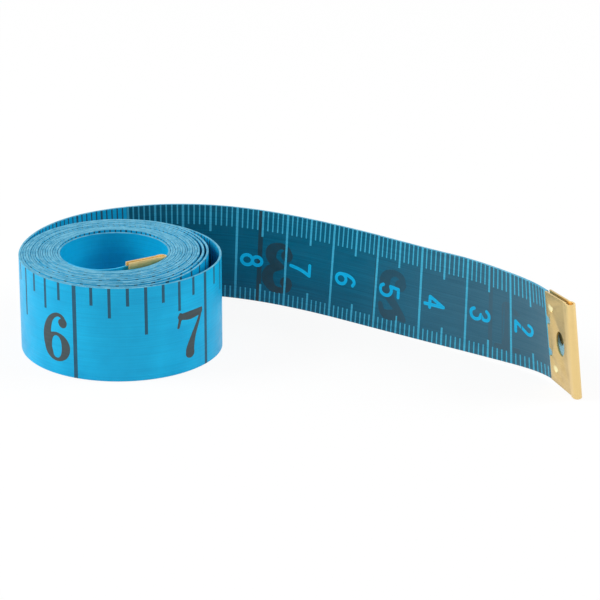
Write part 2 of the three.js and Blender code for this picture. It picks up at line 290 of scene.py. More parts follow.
def tail_stretch():
    """Columns of place on the scale, x, y, heading, lean and lift, from the free end to the coil."""
    step = TAIL_LENGTH / TAIL_STEPS
    middles = (np.arange(TAIL_STEPS) + 0.5) * step / FREE_TAIL
    turned = np.where(middles < 1, between(TAIL_BEND, middles), 0.0) / OUTER_RADIUS * step
    half_facet = 0.5 / FACETS_PER_TURN
    run = coil_line(TURNS + half_facet) - coil_line(TURNS - half_facet)
    heading = math.atan2(run[1], run[0]) - np.concatenate([[0.0], np.cumsum(turned)])
    middle_heading = heading[:-1] - turned / 2
    start = coil_line(TURNS)
    x = start[0] + np.cumsum(step * np.cos(middle_heading))
    y = start[1] + np.cumsum(step * np.sin(middle_heading))
    distance = np.arange(1, TAIL_STEPS + 1) * step
    share = np.minimum(1, distance / FREE_TAIL)
    lean = np.radians(between(TAIL_LEAN, share))
    lift = TIP_LIFT * between(TAIL_LIFT, share) + TAPE_THICKNESS / 2 * np.abs(np.sin(lean))
    return np.column_stack([TAIL_START - distance, x, y, heading[1:], lean, lift])[::-1]


def coil_stretch():
    """The same columns, from the tail to the innermost turn."""
    turn = np.linspace(TURNS, 0.0, COIL_STEPS + 1)
    line = coil_line(turn)
    lengths = np.linalg.norm(np.diff(line, axis=0), axis=1)
    place = TAIL_START + np.concatenate([[0.0], np.cumsum(lengths)])
    run = -np.gradient(line, axis=0)
    heading = np.arctan2(run[:, 1], run[:, 0])
    return np.column_stack([place, line, heading, np.zeros_like(turn), coil_rise(turn)]), turn


def inner_stretch(start_place):
    """The same columns, from the innermost turn to the far end: a bend, then the slanted chord."""
    bend = np.linspace(BEND_START, BEND_END, BEND_STEPS + 1)[1:]
    chord = np.linspace(0.0, INNER_TIP_LEAD + TAPE_INSERTION, CHORD_STEPS + 1)[1:]
    angle = np.concatenate([bend, np.full(CHORD_STEPS, BEND_END)])
    onward = np.concatenate([np.zeros(BEND_STEPS), chord])
    x = BEND_CENTRE[0] + BEND_RADIUS * np.cos(angle) - onward * np.sin(angle)
    y = BEND_CENTRE[1] + BEND_RADIUS * np.sin(angle) + onward * np.cos(angle)
    place = start_place + BEND_RADIUS * (angle - BEND_START) + onward
    level = np.zeros_like(angle)
    return np.column_stack([place, x, y, angle - math.pi / 2, level, level])


COIL, COIL_TURNS = coil_stretch()
INNER_FLEXURE = COIL[-1, 0]
ROUTE = np.vstack([tail_stretch(), COIL, inner_stretch(INNER_FLEXURE)])
ROUTE[:, 3] = np.unwrap(ROUTE[:, 3])
TAPE_END = ROUTE[-1, 0]


def place_at_turn(turn):
    return float(np.interp(-turn, -COIL_TURNS, COIL[:, 0]))


def flexure_place(number):
    return TAIL_START - FIXED_TAIL_LENGTH - (number - 1) * FLEXURE_SPACING


def joint_point(name):
    return np.array(next(joint["pos_m"] for joint in frame["joints"] if joint["name"] == name))


def on_route(place):
    return [np.interp(place, ROUTE[:, 0], ROUTE[:, column]) for column in range(1, 6)]


COIL_CENTRE = joint_point("tail_flex_1")[:2] - np.array(on_route(flexure_place(1))[:2])


def tape_points(place, offset, height):
    """Points by place on the scale, offset from the tape's middle plane and height up its width."""
    x, y, heading, lean, lift = on_route(place)
    left = np.stack([-np.sin(heading), np.cos(heading), np.zeros_like(heading)], axis=-1)
    vertical = np.array([0.0, 0.0, 1.0])
    cos_lean, sin_lean = np.cos(lean)[..., None], np.sin(lean)[..., None]
    across = left * cos_lean + vertical * sin_lean
    up = vertical * cos_lean - left * sin_lean
    ground = np.stack([x + COIL_CENTRE[0], y + COIL_CENTRE[1], lift], axis=-1)
    return ground + across * np.asarray(offset)[..., None] + up * np.asarray(height)[..., None]


def nearest_mark(scale, place):
    """Distance to the nearest mark of a scale, with its width and its reach from either edge."""
    step, ranks = scale
    index = np.round(place / step).astype(int)
    width, upper, lower = (np.zeros(np.shape(place)) for _ in range(3))
    for multiple, rank_width, rank_upper, rank_lower in reversed(ranks):
        chosen = index % multiple == 0
        width[chosen], upper[chosen], lower[chosen] = rank_width, rank_upper, rank_lower
    return np.abs(place - index * step), width, upper, lower


def on_mark(scale, place, height):
    away, width, upper, lower = nearest_mark(scale, place)
    reached = (height > TAPE_WIDTH - upper) | (height < lower)
    return (away < width / 2) & reached & (place < PRINT_END)


def inch_face(place, height):
    printed = np.where(on_mark(INCH_SCALE, place, height), LINE, GROUND)
    return np.where(place < BLOCK_START, END, printed)


def centimetre_face(place, height):
    """Dark marks on the ground, but in the first stretch light marks left out of a dark block."""
    step, ranks = INCH_SCALE
    behind = on_mark((step * ranks[0][0], [(1, *ranks[0][1:])]), place - SHOW_THROUGH_SHIFT, height)
    marked = on_mark(CENTIMETRE_SCALE, place, height)
    block = np.where(marked, LIGHT, np.where(behind, SHOW_THROUGH, BLOCK))
    printed = np.where(place < BLOCK_END, block, np.where(marked, LINE, GROUND))
    return np.where(place < BLOCK_START, END, printed)


def column_places(start, end):
    """Places of the columns of a piece's faces: even steps, and both edges of every mark."""
    steps = math.ceil((end - start) / COLUMN_STEP)
    places = [np.linspace(start, end, steps + 1)]
    for scale in (INCH_SCALE, CENTIMETRE_SCALE):
        marks = np.arange(math.ceil(start / scale[0]), math.floor(end / scale[0]) + 1) * scale[0]
        width = nearest_mark(scale, marks)[1]
        places += [marks - width / 2, marks + width / 2]
    places = np.unique(np.round(np.concatenate(places), PLACE_DECIMALS))
    apart = 0.5 * 10 ** -PLACE_DECIMALS
    inner = places[(places > start + apart) & (places < end - apart)]
    return np.concatenate([[start], inner, [end]])


def tape_section():
    """Outline of the tape's section: offsets, heights, and the face that each next stretch belongs to."""
    half, rounding = TAPE_THICKNESS / 2, EDGE_ROUNDING
    top = TAPE_WIDTH - rounding
    inch_levels = [rounding] + sorted(TAPE_WIDTH - rank[2] for rank in INCH_SCALE[1][1:]) + [top]
    uppers = sorted((TAPE_WIDTH - rank[2] for rank in CENTIMETRE_SCALE[1][1:]), reverse=True)
    lowers = sorted((rank[3] for rank in CENTIMETRE_SCALE[1][1:]), reverse=True)
    centimetre_levels = [top] + uppers + lowers + [rounding]
    outline = [(half, level, inch_face) for level in inch_levels[:-1]]
    outline += [(half, top, None), (half - rounding, TAPE_WIDTH, None)]
    outline += [(rounding - half, TAPE_WIDTH, None)]
    outline += [(-half, level, centimetre_face) for level in centimetre_levels]
    outline += [(rounding - half, 0.0, None), (half - rounding, 0.0, inch_face)]
    return outline


class Mesh:
    """Points, faces and face materials of one piece, with the place on the tape of every point."""

    def __init__(self):
        self.points = []
        self.places = []
        self.faces = []
        self.materials = []
        self.count = 0

    def add(self, place, offset, height, faces, materials):
        self.points.append(tape_points(place, offset, height))
        self.places.append(np.column_stack([place, height]))
        self.faces += [tuple(self.count + index for index in face) for face in faces]
        self.materials += list(materials)
        self.count += len(place)

    def build(self, name):
        mesh = bpy.data.meshes.new(name)
        mesh.from_pydata(np.vstack(self.points), [], self.faces)
        mesh.polygons.foreach_set("material_index", self.materials)
        corners = np.zeros(len(mesh.loops), int)
        mesh.loops.foreach_get("vertex_index", corners)
        layer = mesh.uv_layers.new(name="tape")
        layer.uv.foreach_set("vector", (np.vstack(self.places) / CENTIMETRE)[corners].ravel())
        surface = bmesh.new()
        surface.from_mesh(mesh)
        bmesh.ops.recalc_face_normals(surface, faces=surface.faces)
        surface.to_mesh(mesh)
        surface.free()
        mesh.shade_smooth()
        mesh.set_sharp_from_angle(angle=math.radians(SMOOTH_TAPE_ANGLE))
        piece = bpy.data.objects.new(name, mesh)
        bpy.context.scene.collection.objects.link(piece)
        return piece


def add_strip(mesh, start, end):
    """The tape itself between two places, closed at both ends, its faces divided along the marks."""
    columns = column_places(start, end)
    outline = tape_section()
    around = len(outline)
    place = np.repeat(columns, around)
    offset = np.tile([point[0] for point in outline], len(columns))
    height = np.tile([point[1] for point in outline], len(columns))
    faces = [tuple(range(around))]
    materials = [EDGE]
    middles = (columns[1:] + columns[:-1]) / 2
    for index, (_, level, face) in enumerate(outline):
        following = (index + 1) % around
        level_middle = np.full(len(middles), (level + outline[following][1]) / 2)
        starts = np.arange(len(middles)) * around
        rows = [starts + index, starts + following, starts + around + following, starts + around + index]
        faces += list(map(tuple, np.column_stack(rows)))
        shown = face(middles, level_middle) if face else np.full(len(middles), EDGE)
        materials += list(shown)
    faces.append(tuple(range(around * (len(columns) - 1), around * len(columns))))
    materials.append(EDGE)
    mesh.add(place, offset, height, faces, materials)


def ring(x, y, across, upright, thick, thin):
    """A closed stroke round an oval, thick at the sides and thin at the top and the foot."""
    angles = np.linspace(0.0, 2 * math.pi, RING_POINTS)
    width = thin + (thick - thin) * np.cos(angles) ** 2
    return list(zip(x + across * np.cos(angles), y + upright * np.sin(angles), width))


def turned_over(strokes, width):
    return [[(width - x, 1.0 - y, half) for x, y, half in stroke] for stroke in strokes]


# Numerals as pen strokes in a box of unit height: x, y and half the stroke's width
SERIF_WIDTH = 0.62
SERIF_SIX = [
    [(0.46, 0.80, 0.085), (0.45, 0.82, 0.085)],
    [(0.51, 0.83, 0.04), (0.44, 0.945, 0.036), (0.32, 0.962, 0.04), (0.18, 0.84, 0.06),
     (0.1, 0.6, 0.088), (0.1, 0.34, 0.09), (0.18, 0.12, 0.06)],
    ring(0.315, 0.3, 0.2, 0.265, 0.088, 0.034),
]
SERIF = {
    "1": [[(0.33, 0.06, 0.09), (0.33, 0.9, 0.09)],
          [(0.33, 0.94, 0.05), (0.22, 0.87, 0.04), (0.1, 0.83, 0.028)],
          [(0.1, 0.03, 0.03), (0.56, 0.03, 0.03)]],
    "2": [[(0.15, 0.73, 0.085), (0.16, 0.74, 0.085)],
          [(0.085, 0.75, 0.035), (0.14, 0.91, 0.035), (0.31, 0.962, 0.038), (0.48, 0.86, 0.08),
           (0.5, 0.68, 0.09), (0.37, 0.44, 0.07), (0.11, 0.15, 0.035), (0.05, 0.05, 0.03)],
          [(0.07, 0.08, 0.04), (0.22, 0.11, 0.08), (0.4, 0.075, 0.075), (0.52, 0.12, 0.04),
           (0.58, 0.27, 0.022)]],
    "3": [[(0.14, 0.77, 0.085), (0.15, 0.78, 0.085)],
          [(0.085, 0.8, 0.035), (0.16, 0.93, 0.032), (0.3, 0.965, 0.035), (0.46, 0.86, 0.08),
           (0.45, 0.66, 0.07), (0.25, 0.54, 0.03)],
          [(0.25, 0.54, 0.03), (0.47, 0.45, 0.065), (0.53, 0.26, 0.09), (0.43, 0.08, 0.06),
           (0.27, 0.035, 0.035), (0.11, 0.09, 0.035), (0.065, 0.2, 0.035)],
          [(0.13, 0.22, 0.09), (0.14, 0.22, 0.09)]],
    "4": [[(0.38, 0.96, 0.034), (0.04, 0.31, 0.03)],
          [(0.04, 0.285, 0.038), (0.6, 0.285, 0.038)],
          [(0.41, 0.91, 0.085), (0.41, 0.06, 0.088)],
          [(0.25, 0.03, 0.03), (0.58, 0.03, 0.03)]],
    "5": [[(0.13, 0.93, 0.055), (0.32, 0.915, 0.07), (0.51, 0.95, 0.035)],
          [(0.115, 0.95, 0.03), (0.09, 0.53, 0.03)],
          [(0.09, 0.53, 0.03), (0.22, 0.615, 0.034), (0.4, 0.58, 0.07), (0.515, 0.4, 0.09),
           (0.49, 0.2, 0.085), (0.34, 0.045, 0.042), (0.16, 0.065, 0.035), (0.065, 0.18, 0.035)],
          [(0.13, 0.2, 0.085), (0.14, 0.2, 0.085)]],
    "6": SERIF_SIX,
    "7": [[(0.04, 0.69, 0.026), (0.075, 0.84, 0.03), (0.085, 0.95, 0.034)],
          [(0.09, 0.9, 0.06), (0.3, 0.885, 0.085), (0.54, 0.9, 0.07)],
          [(0.58, 0.94, 0.03), (0.52, 0.76, 0.034), (0.38, 0.46, 0.055), (0.3, 0.22, 0.09),
           (0.29, 0.1, 0.1)]],
    "8": [ring(0.3, 0.745, 0.175, 0.215, 0.075, 0.032), ring(0.31, 0.27, 0.21, 0.235, 0.09, 0.034)],
    "9": turned_over(SERIF_SIX, SERIF_WIDTH),
}
PLAIN_WIDTH = 0.56
PEN = 0.068
PLAIN_SIX = [
    ring(0.28, 0.3, 0.2, 0.23, PEN, PEN),
    [(0.08, 0.3, PEN), (0.09, 0.6, PEN), (0.2, 0.86, PEN), (0.34, 0.93, PEN), (0.46, 0.86, PEN)],
]
PLAIN = {
    "0": [ring(0.28, 0.5, 0.2, 0.43, PEN, PEN)],
    "1": [[(0.31, 0.07, PEN), (0.31, 0.92, PEN)], [(0.31, 0.92, PEN), (0.15, 0.78, PEN)]],
    "2": [[(0.08, 0.74, PEN), (0.14, 0.88, PEN), (0.28, 0.93, PEN), (0.44, 0.84, PEN),
           (0.45, 0.66, PEN), (0.3, 0.42, PEN), (0.08, 0.08, PEN)],
          [(0.08, 0.07, PEN), (0.49, 0.07, PEN)]],
    "3": [[(0.08, 0.8, PEN), (0.16, 0.9, PEN), (0.28, 0.93, PEN), (0.42, 0.86, PEN),
           (0.43, 0.66, PEN), (0.26, 0.54, PEN)],
          [(0.26, 0.54, PEN), (0.42, 0.47, PEN), (0.48, 0.28, PEN), (0.4, 0.12, PEN),
           (0.26, 0.07, PEN), (0.13, 0.11, PEN), (0.07, 0.22, PEN)]],
    "4": [[(0.38, 0.07, PEN), (0.38, 0.93, PEN)], [(0.38, 0.93, PEN), (0.07, 0.32, PEN)],
          [(0.07, 0.3, PEN), (0.5, 0.3, PEN)]],
    "5": [[(0.45, 0.93, PEN), (0.13, 0.93, PEN)], [(0.13, 0.93, PEN), (0.09, 0.54, PEN)],
          [(0.09, 0.54, PEN), (0.26, 0.6, PEN), (0.42, 0.52, PEN), (0.48, 0.33, PEN),
           (0.41, 0.14, PEN), (0.26, 0.07, PEN), (0.13, 0.1, PEN), (0.07, 0.2, PEN)]],
    "6": PLAIN_SIX,
    "7": [[(0.07, 0.93, PEN), (0.49, 0.93, PEN)],
          [(0.49, 0.93, PEN), (0.32, 0.55, PEN), (0.21, 0.07, PEN)]],
    "8": [ring(0.28, 0.72, 0.17, 0.2, PEN, PEN), ring(0.28, 0.29, 0.2, 0.23, PEN, PEN)],
    "9": turned_over(PLAIN_SIX, PLAIN_WIDTH),
}


def pen_line(stroke):
    """A smooth line through the points of a stroke, with the half width along it."""
    points = np.array(stroke)
    if len(points) == 2:
        return points
    padded = np.vstack([2 * points[0] - points[1], points, 2 * points[-1] - points[-2]])
    share = np.linspace(0.0, 1.0, PEN_STEPS + 1)[:-1, None]
    line = []
    for before, start, end, after in zip(padded, padded[1:], padded[2:], padded[3:]):
        bow = 2 * before - 5 * start + 4 * end - after
        swing = 3 * (start - end) + after - before
        line.append(start + 0.5 * share * (end - before + share * (bow + share * swing)))
    return np.vstack([*line, points[-1:]])


def distance_to_strokes(strokes, x, y):
    """How far each place is outside the nearest stroke, negative inside."""
    nearest = np.full(x.shape, np.inf)
    for stroke in strokes:
        line = pen_line(stroke)
        for (ax, ay, aw), (bx, by, bw) in zip(line, line[1:]):
            run = max((bx - ax) ** 2 + (by - ay) ** 2, 1e-9)
            share = np.clip(((x - ax) * (bx - ax) + (y - ay) * (by - ay)) / run, 0.0, 1.0)
            away = np.hypot(x - ax - share * (bx - ax), y - ay - share * (by - ay))
            nearest = np.minimum(nearest, away - aw - share * (bw - aw))
    return nearest


def filled_cells(distance, xs, ys):
    """Flat mesh of where a distance is negative: square cells, those on the outline cut along it."""
    depth = distance(*np.meshgrid(xs, ys, indexing="ij"))
    points, numbers, cells = [], {}, []

    def number(key, x, y):
        if key not in numbers:
            numbers[key] = len(points)
            points.append((x, y))
        return numbers[key]

    inside = depth < 0
    touched = inside[:-1, :-1] | inside[1:, :-1] | inside[1:, 1:] | inside[:-1, 1:]
    for i, j in np.argwhere(touched):
        corners = [(i, j), (i + 1, j), (i + 1, j + 1), (i, j + 1)]
        cell = []
        for a, b in zip(corners, corners[1:] + corners[:1]):
            if inside[a]:
                cell.append(number(a, xs[a[0]], ys[a[1]]))
            if inside[a] != inside[b]:
                low, high = min(a, b), max(a, b)
                share = np.clip(depth[low] / (depth[low] - depth[high]), 0.04, 0.96)
                x = xs[low[0]] + share * (xs[high[0]] - xs[low[0]])
                y = ys[low[1]] + share * (ys[high[1]] - ys[low[1]])
                cell.append(number((low, high), x, y))
        cells.append(cell)
    return np.array(points), cells


def numeral_cells(strokes, width, rows, spread=0.0):
    """Mesh of a numeral in a box of unit height, its strokes widened by a spread."""
    xs = np.arange(-CELL_MARGIN, math.ceil(width * rows) + CELL_MARGIN + 1) / rows
    ys = np.arange(-CELL_MARGIN, rows + CELL_MARGIN + 1) / rows
    return filled_cells(lambda x, y: distance_to_strokes(strokes, x, y) - spread, xs, ys)


def add_plate(mesh, place, height, cells, outer, inner, material):
    """A plate between two offsets from the tape's middle plane, closed all round."""
    count = len(place)
    edges = {(a, b) for cell in cells for a, b in zip(cell, cell[1:] + cell[:1])}
    faces = [tuple(cell) for cell in cells]
    faces += [tuple(count + index for index in reversed(cell)) for cell in cells]
    faces += [(b, a, count + a, count + b) for a, b in edges if (b, a) not in edges]
    offset = np.concatenate([np.full(count, outer), np.full(count, inner)])
    mesh.add(np.tile(place, 2), offset, np.tile(height, 2), faces, [material] * len(faces))


def add_film(mesh, place, height, cells, side, lift, material):
    """A film of ink on one face of the tape, its back just inside the tape."""
    face = TAPE_THICKNESS / 2
    add_plate(mesh, place, height, cells, side * (face + lift), side * (face - lift), material)


def add_pierced_end(mesh, start, end):
    """The end of the tape inside the outer tip, with the oval hole behind the tip's window."""
    hole_place = TIP_MOUTH - WINDOW_INSET
    hole_height = TAPE_WIDTH / 2 + TIP_RISE + TAPE_HOLE_OFFSET

    def distance(place, height):
        along = (place - hole_place) / (WINDOW_LENGTH / 2)
        upright = (height - hole_height) / (WINDOW_HEIGHT / 2)
        beyond = np.abs(height - TAPE_WIDTH / 2) - TAPE_WIDTH / 2 + END_TRIM
        outside = np.maximum(np.maximum(start - place, place - end), beyond)
        return np.maximum(outside, (1 - np.hypot(along, upright)) * WINDOW_LENGTH / 2)

    places = np.arange(start - PIERCED_STEP / 2, end + PIERCED_STEP, PIERCED_STEP)
    heights = np.arange(-PIERCED_STEP / 2, TAPE_WIDTH + PIERCED_STEP, PIERCED_STEP)
    points, cells = filled_cells(distance, places, heights)
    half = TAPE_THICKNESS / 2
    add_plate(mesh, points[:, 0], points[:, 1], cells, half, -half, END)


def inch_numeral(value, spread=0.0):
    """Places, heights and cells of an inch numeral, which ends just short of its line."""
    points, cells = numeral_cells(SERIF[str(value)], SERIF_WIDTH, SERIF_ROWS, spread)
    right = value * INCH - INCH_LINE_WIDTH / 2 - INCH_NUMERAL_GAP
    along = (points[:, 0] - SERIF_WIDTH) * INCH_NUMERAL_STRETCH
    height = INCH_NUMERAL_BASE + points[:, 1] * INCH_NUMERAL_HEIGHT
    return right + along * INCH_NUMERAL_HEIGHT, height, cells


def add_inch_numerals(mesh, start, end):
    """Upright serif numerals, those behind the block seen dimly through it."""
    for value in INCH_NUMERALS:
        if start < value * INCH <= end:
            add_film(mesh, *inch_numeral(value), 1, INK_LIFT, INK)
            if value in SHOW_THROUGH_NUMERALS:
                add_show_through(mesh, *inch_numeral(value, SHOW_THROUGH_SPREAD))


def add_show_through(mesh, place, height, cells):
    """An inch numeral seen from behind, dark in the block between its light marks."""
    place = place + SHOW_THROUGH_SHIFT
    middles = np.array([(place[cell].mean(), height[cell].mean()) for cell in cells])
    covered = centimetre_face(middles[:, 0], middles[:, 1]) == LIGHT
    shown = [cell for cell, hidden in zip(cells, covered) if not hidden]
    used = sorted({index for cell in shown for index in cell})
    renumbered = {old: new for new, old in enumerate(used)}
    shown = [[renumbered[index] for index in cell] for cell in shown]
    add_film(mesh, place[used], height[used], shown, -1, SHOW_THROUGH_LIFT, SHOW_THROUGH)


def add_centimetre_numerals(mesh, start, end):
    """Plain numerals on their sides, tops towards the zero end, light in the block and dark after it."""
    for value in CENTIMETRE_NUMERALS:
        foot = value * CENTIMETRE - CENTIMETRE_LINE_WIDTH / 2 - CENTIMETRE_NUMERAL_GAP
        if start < foot <= end:
            digits = str(value)
            material = GROUND if foot < BLOCK_END else INK
            for index, digit in enumerate(digits):
                points, cells = numeral_cells(PLAIN[digit], PLAIN_WIDTH, PLAIN_ROWS)
                place = foot - points[:, 1] * CENTIMETRE_NUMERAL_HEIGHT
                along_line = (len(digits) / 2 - index) * PLAIN_WIDTH - points[:, 0]
                height = CENTIMETRE_NUMERAL_MIDDLE + along_line * CENTIMETRE_NUMERAL_HEIGHT
                add_film(mesh, place, height, cells, -1, INK_LIFT, material)


class Look:
    """A node material, with short calls that add nodes and link sockets."""

    def __init__(self, name):
        self.material = bpy.data.materials.new(name)
        self.material.use_nodes = True
        self.tree = self.material.node_tree
        self.shader = self.tree.nodes["Principled BSDF"]

    def node(self, kind, links=(), **values):
        made = self.tree.nodes.new(kind)
        for name, value in values.items():
            setattr(made, name, value)
        for socket, source in links:
            self.put(made.inputs[socket], source)
        return made

    def put(self, socket, source):
        if isinstance(source, bpy.types.NodeSocket):
            self.tree.links.new(source, socket)
        else:
            socket.default_value = source

    def shade(self, **sources):
        for name, source in sources.items():
            self.put(self.shader.inputs[name.replace("_", " ")], source)
        return self.material

    def noise(self, vector, scale, detail=2.0, roughness=0.5):
        links = [("Vector", vector), ("Scale", scale), ("Detail", detail), ("Roughness", roughness)]
        return self.node("ShaderNodeTexNoise", links).outputs["Fac"]

    def grain(self, vector, scales, detail, roughness=0.5):
        """Noise with its own scale along each axis."""
        scaled = self.node("ShaderNodeMapping", [("Vector", vector), ("Scale", scales)])
        return self.noise(scaled.outputs["Vector"], 1.0, detail, roughness)

    def spread(self, value, low, high, from_low=0.3, from_high=0.7):
        """A value that runs from low to high as another runs between two bounds."""
        links = [("Value", value), ("From Min", from_low), ("From Max", from_high),
                 ("To Min", low), ("To Max", high)]
        return self.node("ShaderNodeMapRange", links).outputs["Result"]

    def math(self, operation, first, second):
        return self.node("ShaderNodeMath", [(0, first), (1, second)], operation=operation).outputs[0]

    def vector(self, operation, first, second, output):
        made = self.node("ShaderNodeVectorMath", [(0, first), (1, second)], operation=operation)
        return made.outputs[output]

    def mix(self, factor, first, second):
        made = self.node("ShaderNodeMix", data_type="RGBA")
        for socket, source in zip((0, 6, 7), (factor, first, second)):
            self.put(made.inputs[socket], source)
        return made.outputs[2]

    def bump(self, height, distance, strength=1.0):
        links = [("Height", height), ("Distance", distance), ("Strength", strength)]
        return self.node("ShaderNodeBump", links).outputs["Normal"]


def tone(red, green, blue):
    """Linear colour of a tone given from 0 to 255."""
    linear = [((value / 255 + 0.055) / 1.055) ** 2.4 if value > 10 else value / 255 / 12.92
              for value in (red, green, blue)]
    return (*linear, 1.0)


# Colours: the pale and the deep tone between which a surface varies, what it wears to, and painted sheen and
# highlights
BLUE_TONES = tone(12, 182, 230), tone(0, 161, 211)
BLOCK_TONES = tone(4, 100, 128), tone(0, 82, 108)
# Painted sheen: the greyer tone that the block takes towards the zero end
BLOCK_PAINTED_SHEEN = tone(70, 106, 122)
LIGHT_TONES = tone(70, 180, 212), tone(48, 156, 190)
END_TONES = tone(140, 184, 196), tone(112, 160, 176)
INK_TONES = tone(74, 86, 90), tone(54, 66, 70)
INK_WORN = tone(46, 106, 134)
LINE_TONES = tone(40, 94, 118), tone(26, 80, 104)
LINE_WORN = tone(34, 116, 150)
SHOW_THROUGH_TONE = tone(26, 54, 64)
EDGE_TONES = tone(116, 186, 212), tone(54, 146, 182)
BRASS_TONES = tone(228, 200, 138), tone(212, 182, 118)
BRASS_TARNISHED = tone(184, 152, 94)
# Painted highlight: the bright stripe along the tip's rounded fold
BRASS_FOLD_HIGHLIGHT = tone(243, 213, 148)
# Painted highlight: the glint in the stakes' dimples
BRASS_STAKE_GLINT = tone(255, 248, 196)

# Scales of drawn out noise: along the tape and up its width, and in the brass
STREAK_GRAIN = (0.5, 34.0, 1.0)
SLUB_GRAIN = (1.2, 26.0, 1.0)
INK_GRAIN = (2.0, 18.0, 1.0)
EDGE_GRAIN = (5.0, 1.0, 1.0)
ROLLING_GRAIN = (900.0, 900.0, 9000.0)

# Depth of the weave under the coating and under the ink, and of the frayed cut edges and dented brass
COATED_WEAVE = 0.014 * MM
INKED_WEAVE = 0.012 * MM
FRAY = 0.03 * MM
DENT = 0.04 * MM

# Stretches of the scale, in centimetres, over which painted sheen greys the block and print shows through it
PAINTED_SHEEN_STRETCH = (1.0, 5.5)
SHOW_THROUGH_STRETCH = (3.0, 6.8)


def weave(look, place):
    """Height of the cloth under its coating: warp and weft threads, with slubs along the length."""
    threads = []
    for direction, scale in (("X", 9.0), ("Y", 11.0)):
        links = [("Vector", place), ("Scale", scale), ("Distortion", 0.6), ("Detail", 1.0)]
        wave = look.node("ShaderNodeTexWave", links, bands_direction=direction)
        threads.append(wave.outputs["Fac"])
    slubs = look.grain(place, SLUB_GRAIN, 3.0)
    return look.math("ADD", look.math("MULTIPLY", *threads), slubs)


def tape_place(look):
    """Place on the scale and height up the width, in centimetres."""
    return look.node("ShaderNodeUVMap", uv_map="tape").outputs["UV"]


def from_zero(look, place, low, high, start, end):
    """A value that runs from low to high between two places on the scale, in centimetres."""
    along = look.node("ShaderNodeSeparateXYZ", [("Vector", place)]).outputs["X"]
    return look.spread(along, low, high, start, end)


def coated_cloth(name, tones, streaks, shine, painted_sheen=None):
    """Satin coating over cloth: streaks along the length, soft blotches and a faint weave.

    A greyer painted sheen colour comes in gradually towards the zero end.
    """
    look = Look(name)
    place = tape_place(look)
    pale, deep = tones
    streak = look.grain(place, STREAK_GRAIN, 4.0, 0.65)
    blotch = look.noise(place, 1.6, 3.0)
    mottle = look.math("ADD", look.math("MULTIPLY", streak, streaks),
                       look.math("MULTIPLY", blotch, 1.0 - streaks))
    colour = look.mix(look.spread(mottle, 0.0, 1.0, 0.36, 0.64), deep, pale)
    if painted_sheen:
        # Painted sheen: the block greys towards the zero end, most along the streaks
        sheen_share = from_zero(look, place, 0.9, 0.0, *PAINTED_SHEEN_STRETCH)
        colour = look.mix(look.math("MULTIPLY", sheen_share, look.spread(streak, 0.6, 1.0)), colour, painted_sheen)
    rough = look.spread(look.noise(place, 7.0, 3.0), 0.34, 0.46)
    normal = look.bump(weave(look, place), COATED_WEAVE, 0.4)
    return look.shade(Base_Color=colour, Roughness=rough, Normal=normal, Specular_IOR_Level=shine)


def printed_ink(name, tones, worn):
    """Dark ink over the coating, thin in places so that the blue shows."""
    look = Look(name)
    place = tape_place(look)
    pale, deep = tones
    body = look.mix(look.grain(place, INK_GRAIN, 3.0), deep, pale)
    thin = look.spread(look.noise(place, 42.0, 2.0), 0.0, 0.4, 0.62, 0.78)
    colour = look.mix(thin, body, worn)
    rough = look.spread(look.noise(place, 12.0), 0.42, 0.6)
    normal = look.bump(weave(look, place), INKED_WEAVE, 0.4)
    return look.shade(Base_Color=colour, Roughness=rough, Normal=normal, Specular_IOR_Level=0.25)


def show_through():
    """Print of the other face seen dimly through the block, fainter towards the zero end."""
    look = Look("tape_show_through")
    place = tape_place(look)
    patchy = look.spread(look.noise(place, 5.0, 3.0), 0.75, 1.0)
    dark = look.math("MULTIPLY", from_zero(look, place, 0.25, 0.95, *SHOW_THROUGH_STRETCH), patchy)
    # Painted sheen of the block towards the zero end, also round the show-through
    around = look.mix(from_zero(look, place, 0.75, 0.0, *PAINTED_SHEEN_STRETCH), BLOCK_TONES[1], BLOCK_PAINTED_SHEEN)
    colour = look.mix(dark, around, SHOW_THROUGH_TONE)
    rough = look.spread(look.noise(place, 7.0, 3.0), 0.36, 0.48)
    return look.shade(Base_Color=colour, Roughness=rough, Specular_IOR_Level=0.35)


def cut_edge():
    """Cut edges of the tape: bluish cloth between the coatings, in soft broken lines."""
    look = Look("cut_edge")
    place = tape_place(look)
    pale, deep = EDGE_TONES
    broken = look.grain(place, EDGE_GRAIN, 4.0, 0.7)
    colour = look.mix(look.spread(broken, 0.0, 1.0, 0.35, 0.65), deep, pale)
    normal = look.bump(look.noise(place, 30.0, 3.0), FRAY, 0.5)
    rough = look.spread(broken, 0.6, 0.85)
    return look.shade(Base_Color=colour, Roughness=rough, Normal=normal, Specular_IOR_Level=0.25)


def past_mouth(look, place):
    """Distance from the mouth of the outer tip towards its fold."""
    heading = on_route(TIP_MOUTH)[2]
    mouth = tape_points(np.array([TIP_MOUTH]), 0.0, 0.0)[0]
    beyond = look.vector("SUBTRACT", place, mouth, "Vector")
    along = (math.cos(heading), math.sin(heading), 0.0)
    return look.vector("DOT_PRODUCT", beyond, along, "Value")


def from_stakes(look, place):
    """Distance from the nearer of the two stakes of the outer tip."""
    distances = []
    for side in (-1, 1):
        height = TAPE_WIDTH / 2 + TIP_RISE + side * STAKE_SPACING / 2
        centre = tape_points(np.array([TIP_MOUTH - STAKE_INSET]), 0.0, height)[0]
        distances.append(look.vector("DISTANCE", place, centre, "Value"))
    return look.math("MINIMUM", *distances)


